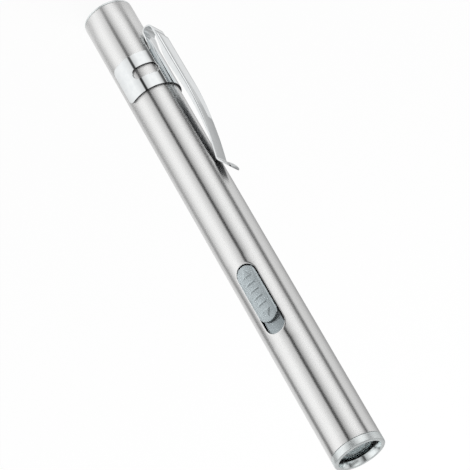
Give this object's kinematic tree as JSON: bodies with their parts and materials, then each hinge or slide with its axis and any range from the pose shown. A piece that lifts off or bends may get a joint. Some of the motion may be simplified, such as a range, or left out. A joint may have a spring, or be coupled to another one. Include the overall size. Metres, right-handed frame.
{
  "type": "slide-switch penlight",
  "caption": "Slim brushed-steel penlight with a slide switch in a slot, a polished push-on pocket clip and a screw-off lens bezel.",
  "frame": {"origin": "centre of the flat tail face", "axes": "+Z along the barrel towards the lens, -Y towards the slide switch, -X towards the pocket clip"},
  "size_m": [0.0182, 0.0152, 0.146],
  "materials": {
    "brushed_barrel": "stainless, brushed round the tube",
    "polished_clip": "polished spring steel",
    "bezel_metal": "fine-turned, clear finish",
    "spring_wire": "drawn wire",
    "contact_brass": "plain",
    "switch_grey": "moulded, fine grain",
    "inner_grey": "moulded",
    "cell_jacket": "printed jacket over a steel can",
    "board_green": "solder mask",
    "board_white": "white solder mask on a metal core",
    "chip_black": "moulded",
    "led_yellow": "phosphor under clear resin",
    "led_clear": "clear silicone",
    "lens_glass": "clear, polished",
    "mirror_cup": "metallised",
    "gasket_black": "matt"
  },
  "bodies": {
    "barrel": {"barrel_tube": "brushed_barrel", "tail_plug": "bezel_metal", "tail_spring": "spring_wire", "rear_cell": "cell_jacket", "front_cell": "cell_jacket", "cell_sleeve": "inner_grey", "switch_carrier": "inner_grey", "feed_rivet": "contact_brass", "feed_strip": "contact_brass", "load_strip": "contact_brass", "light_pill": "contact_brass", "driver_board": "board_green", "driver_coil": "chip_black", "driver_chip": "chip_black", "led_board": "board_white", "led_package": "led_yellow", "led_dome": "led_clear", "centring_ring": "inner_grey", "reflector": "mirror_cup", "clip_band": "polished_clip"},
    "switch": {"switch_slider": "switch_grey", "bridge_leaf": "contact_brass"},
    "clip": {"clip_arm": "polished_clip"},
    "bezel": {"bezel_ring": "bezel_metal", "lens": "lens_glass", "lens_gasket": "gasket_black"}
  },
  "joints": [
    {"name": "switch_slide", "type": "slide", "parent": "barrel", "child": "switch", "axis": [0, 0, 1], "range_m": [0, 0.0036]},
    {"name": "clip_flex", "type": "hinge", "parent": "barrel", "child": "clip", "pos_m": [-0.00911, 0, 0.01389], "axis": [0, -1, 0], "range_deg": [0, 5], "stiffness_Nm_per_rad": 0.3},
    {"name": "bezel_unscrew", "type": "slide", "parent": "barrel", "child": "bezel", "axis": [0, 0, 1], "range_m": [0, 0.012]}
  ]
}
